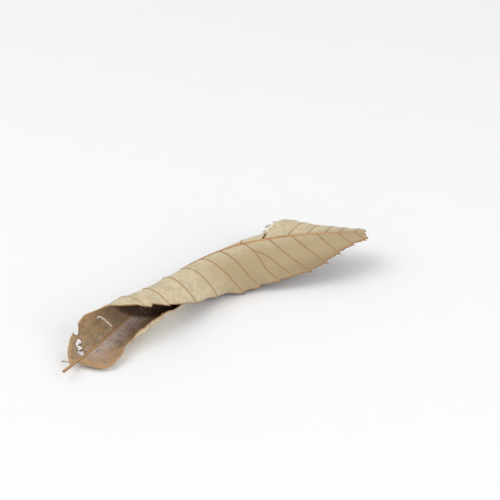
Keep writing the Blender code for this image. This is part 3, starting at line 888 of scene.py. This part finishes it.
def makeSkin():
    # The brown upper face: leathery and mottled, olive on the left, a grey sheen painted right of the midrib
    # as a reflection, tan at the foot and along the edges, painted shade where it is rolled in, and burnt
    # round the holes.
    made, tree, shader, place, uv = startMaterial("brownUpperFace", Specular_IOR_Level=0.35)
    tone = addGroup(tree, mottle, place, Broad=230.0, Fine=1500.0)
    blots = addGroup(tree, mottle, place, Broad=400.0, Fine=2600.0)
    veins = addGroup(tree, net, uv, Bay=fieldOf(tree, "bay"), Rungs=8.0, Meshes=24.0)
    spots = addGroup(tree, specks, place, Scale=650.0, Size=0.32, Share=0.25)
    along, outward = fieldOf(tree, "along"), fieldOf(tree, "outward")
    toMargin, toTorn = fieldOf(tree, "marginOff"), fieldOf(tree, "tornOff")
    wobble = times(tree, calculate(tree, "SUBTRACT", tone["Broad"], 0.5), skin["wobble"])
    wander = calculate(tree, "ADD", outward, wobble)
    rightSide, leftSide = stepMask(tree, outward, 0.0, -0.5), stepMask(tree, outward, 0.0, 0.5)
    paintedSheenBand = times(tree, times(tree, stepMask(tree, wander, *skin["paintedSheenOut"]), rightSide),
                      stepMask(tree, along, *skin["paintedSheenAlong"]))
    rightSlant, leftSlant, leftReach = skin["shadeSlant"]
    byRight = times(tree, calculate(tree, "MINIMUM", outward, 0.0), rightSlant)
    onLeft = calculate(tree, "MAXIMUM", outward, 0.0)
    byLeft = times(tree, calculate(tree, "MINIMUM", onLeft, leftReach), leftSlant)
    inward = calculate(tree, "ADD", calculate(tree, "ADD", along, byRight), byLeft)
    inward = calculate(tree, "ADD", inward, times(tree, wobble, 0.15))
    stain = addNode(tree, "VectorMath", {0: uv, 1: skin["stainAt"]}, operation="DISTANCE").outputs["Value"]
    stain = calculate(tree, "ADD", stain, times(tree, wobble, 0.04))
    foot = times(tree, stepMask(tree, along, 11.0, 3.0), stepMask(tree, outward, 2.0, -1.0))
    openRim = times(tree, stepMask(tree, toMargin, 2.4, 0.6), stepMask(tree, along, 30.0, 14.0))
    rightRim = times(tree, stepMask(tree, toMargin, 1.3, 0.6), stepMask(tree, outward, 1.0, -1.0))
    colour = painted(tree, skin["colour"], (
        (times(tree, leftSide, stepMask(tree, tone["Broad"], 0.4, 0.58)), 0.85, skin["olive"]),
        (stepMask(tree, wander, -3.5, -8.0), 0.45, skin["tan"]),
        # painted reflection: a grey sheen right of the midrib, and a little of it on the left beside the
        # midrib
        (paintedSheenBand, 0.85, skin["paintedSheen"]),
        (times(tree, stepMask(tree, wander, 3.0, 0.5), leftSide), 0.3, skin["paintedSheen"]),
        (foot, 0.65, skin["tan"]),
        (times(tree, stepMask(tree, along, 8.0, 2.0), leftSide), 0.2, skin["tan"]),
        (stepMask(tree, blots["Broad"], 0.5, 0.62), 0.6, skin["russet"]),
        (stepMask(tree, blots["Broad"], 0.46, 0.36), 0.55, skin["umber"]),
        (openRim, 0.5, skin["tan"]),
        (stepMask(tree, stain, 0.3, 0.16), 0.35, skin["umber"]),
        # painted shade of the roll: half shade on the left, then full dark shade where the leaf is rolled in
        (times(tree, stepMask(tree, inward, *skin["halfShade"]), leftSide), 0.5, skin["umber"]),
        (stepMask(tree, inward, *skin["fullShade"]), 0.96, skin["deep"]),
        (veins["Meshes"], 0.3, skin["speck"]),
        (veins["Rungs"], 0.2, skin["vein"]),
        (stepMask(tree, fieldOf(tree, "veinOff"), 0.35, 0.1), 0.3, skin["vein"]),
        # darker in a narrow band beside the midrib
        (stepMask(tree, fieldOf(tree, "ribOff"), 0.75, 0.35), 0.35, skin["burn"]),
        (stepMask(tree, tone["Fine"], 0.5, 0.68), 0.5, skin["speck"]),
        (spots["Spots"], 0.5, skin["speck"]),
        (rightRim, 0.9, skin["edge"]),
        (stepMask(tree, toMargin, 0.7, 0.3), 0.45, skin["edge"]),
        (stepMask(tree, toTorn, 0.45, 0.12), 0.55, skin["burn"]),
    ))
    height = calculate(tree, "SUBTRACT", tone["Fine"], times(tree, veins["Meshes"], 0.5))
    finish(tree, shader, colour, tone["Broad"], (0.5, 0.75), height, (0.45, 0.0002))
    return made


def makeFibre(name, colour, pale, dark, ends=None):
    # Veins, stalk, rims and threads: fine streaks along their length, with darker patches. The midrib
    # has the colours of ends: one for the stalk's dark cut end, also painted as shade down both sides of the
    # open part, and one for painted shade on its top where it is rolled in.
    made, tree, shader, place, uv = startMaterial(name, Specular_IOR_Level=0.35)
    drawn = addNode(tree, "Mapping", {"Vector": uv, "Scale": (2.0, 5.0, 1.0)}).outputs["Vector"]
    streak = addNode(tree, "TexNoise", {"Vector": drawn, "Scale": 4.0, "Detail": 5.0}).outputs["Fac"]
    tone = addGroup(tree, mottle, place, Broad=260.0, Fine=2200.0)
    layers = [(stepMask(tree, streak, 0.35, 0.65), 1.0, pale),
              (stepMask(tree, tone["Broad"], 0.5, 0.7), 0.55, dark),
              (stepMask(tree, tone["Fine"], 0.5, 0.8), 0.3, dark)]
    if ends:
        along, down = fieldOf(tree, "along"), addNode(tree, "SeparateXYZ", {0: uv}).outputs[1]
        paintedShadeBySide = times(tree, stepMask(tree, down, 0.16, 0.4), stepMask(tree, down, 0.75, 0.6))
        paintedShadeOnTop = times(tree, stepMask(tree, along, 34.5, 36.5), stepMask(tree, down, 0.7, 0.62))
        # painted shade down both sides of the open part, the stalk's dark cut end, and painted shade on the
        # rolled-in top
        layers += [(times(tree, paintedShadeBySide, stepMask(tree, along, 48.0, 38.0)), 0.6, ends[0]),
                   (stepMask(tree, along, -6.4, -6.65), 0.35, ends[0]),
                   (paintedShadeOnTop, 0.95, ends[1])]
    finish(tree, shader, painted(tree, colour, layers), streak, (0.5, 0.8), streak, (0.4, 0.0001))
    return made


# Floor, light and camera

studio = {
    "azimuth": -35.0,  # of the camera, in degrees
    "elevation": 30.0,
    "distance": 700.0,
    "frame": 200.0,  # millimetres across the picture at the camera's aim
    "aim": (37.05, 25.4, 0.0),
    "floor": (0.925, 0.925, 0.93),
    "floorSpan": 3.0,  # metres from the middle to a side
    "worldColour": (0.98, 0.985, 1.0),
    "worldLight": 0.71,
    # where each lamp stands and its size, in metres, and its watts; all of them point at the leaf
    "softboxes": {"above": ((-0.62, 0.3, 1.05), 1.1, 5.0), "front": ((0.2, -0.95, 0.55), 0.8, 3.6)},
}


def direction(place, aim):
    # The turn that points a lamp or a camera from place at aim.
    return (Vector(aim) - Vector(place)).to_track_quat("-Z", "Y").to_euler()


def addHolder(name, data, place, aim):
    made = bpy.data.objects.new(name, data)
    bpy.context.scene.collection.objects.link(made)
    made.location, made.rotation_euler = place, direction(place, aim)
    return made


def buildStudio():
    span = studio["floorSpan"] / mm
    corners = np.array(((-span, -span, 0), (span, -span, 0), (span, span, 0), (-span, span, 0)))
    material, tree, shader, place = startMaterial("paleFloor", Roughness=0.9, Specular_IOR_Level=0.2)[:4]
    noise = addNode(tree, "TexNoise", {"Vector": place, "Scale": 60.0, "Detail": 3.0}).outputs["Fac"]
    low = tuple(0.985 * value for value in studio["floor"])
    tree.links.new(painted(tree, studio["floor"], ((noise, 1.0, low),)), shader.inputs["Base Color"])
    floor = addMesh("floor", corners, [(0, 1, 2, 3)], [material], flat=True)

    world = bpy.data.worlds.new("studioWorld")
    bpy.context.scene.world = world
    world.use_nodes = True
    world.node_tree.nodes["Background"].inputs["Color"].default_value = (*studio["worldColour"], 1)
    world.node_tree.nodes["Background"].inputs["Strength"].default_value = studio["worldLight"]

    for name, (place, size, watts) in studio["softboxes"].items():
        softbox = bpy.data.lights.new(name, "AREA")
        softbox.shape, softbox.size, softbox.energy = "DISK", size, watts
        addHolder(name, softbox, place, (0, 0, 0))

    camera = bpy.data.cameras.new("camera")
    camera.sensor_width = 36.0
    camera.lens = camera.sensor_width * studio["distance"] / studio["frame"]
    camera.clip_start = 0.01
    turn, tilt = math.radians(studio["azimuth"]), math.radians(studio["elevation"])
    back = np.array((math.sin(turn) * math.cos(tilt), -math.cos(turn) * math.cos(tilt), math.sin(tilt)))
    aim = np.array(studio["aim"]) * mm
    bpy.context.scene.camera = addHolder("camera", camera, aim + back * studio["distance"] * mm, aim)
    bpy.context.scene.view_settings.view_transform = "Standard"


print("materials")
feltUnderside = makeFelt()
brownUpperFace = makeSkin()
rimBrown = makeFibre("rimBrown", (0.36, 0.21, 0.10), (0.46, 0.30, 0.16), (0.20, 0.10, 0.045))
# ribTan's ends: the stalk's dark cut end, also painted as shade down the midrib's sides, and painted shade
# on its rolled-in top
ribTan = makeFibre("ribTan", (0.46, 0.245, 0.10), (0.58, 0.34, 0.15), (0.32, 0.155, 0.06),
                   ends=((0.22, 0.12, 0.055), (0.10, 0.05, 0.03)))
veinBrown = makeFibre("veinBrown", (0.34, 0.185, 0.085), (0.41, 0.24, 0.115), (0.26, 0.13, 0.055))
scarWhite = makeFibre("scarWhite", (0.92, 0.90, 0.85), (0.95, 0.94, 0.92), (0.75, 0.68, 0.58))
charBrown = makeFibre("charBrown", (0.10, 0.05, 0.035), (0.16, 0.085, 0.05), (0.05, 0.025, 0.02))
threadBrown = makeFibre("threadBrown", (0.30, 0.19, 0.12), (0.42, 0.30, 0.21), (0.14, 0.08, 0.05))
shredCream = makeFibre("shredCream", (0.66, 0.56, 0.38), (0.85, 0.79, 0.64), (0.36, 0.25, 0.14))
hairPale = makeFibre("hairPale", (0.66, 0.57, 0.42), (0.74, 0.67, 0.53), (0.50, 0.40, 0.27))

print("blade")
pieces = [buildBlade(part, [brownUpperFace, feltUnderside, rimBrown]) for part in leafParts]
print("midrib, side veins, threads and shreds")
pieces += [buildMidrib(ribTan), buildSideVeins(veinBrown), buildThread("whiteScar", "scar", scarWhite),
           buildThread("bareVein", "bareVein", threadBrown), buildThread("holeBridge", "bridge", charBrown),
           buildShreds(shredCream)]
print("hairs")
pieces.append(buildHairs(hairPale))
for piece in pieces:
    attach(piece, "root")
    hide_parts("leaf")

print("studio")
buildStudio()
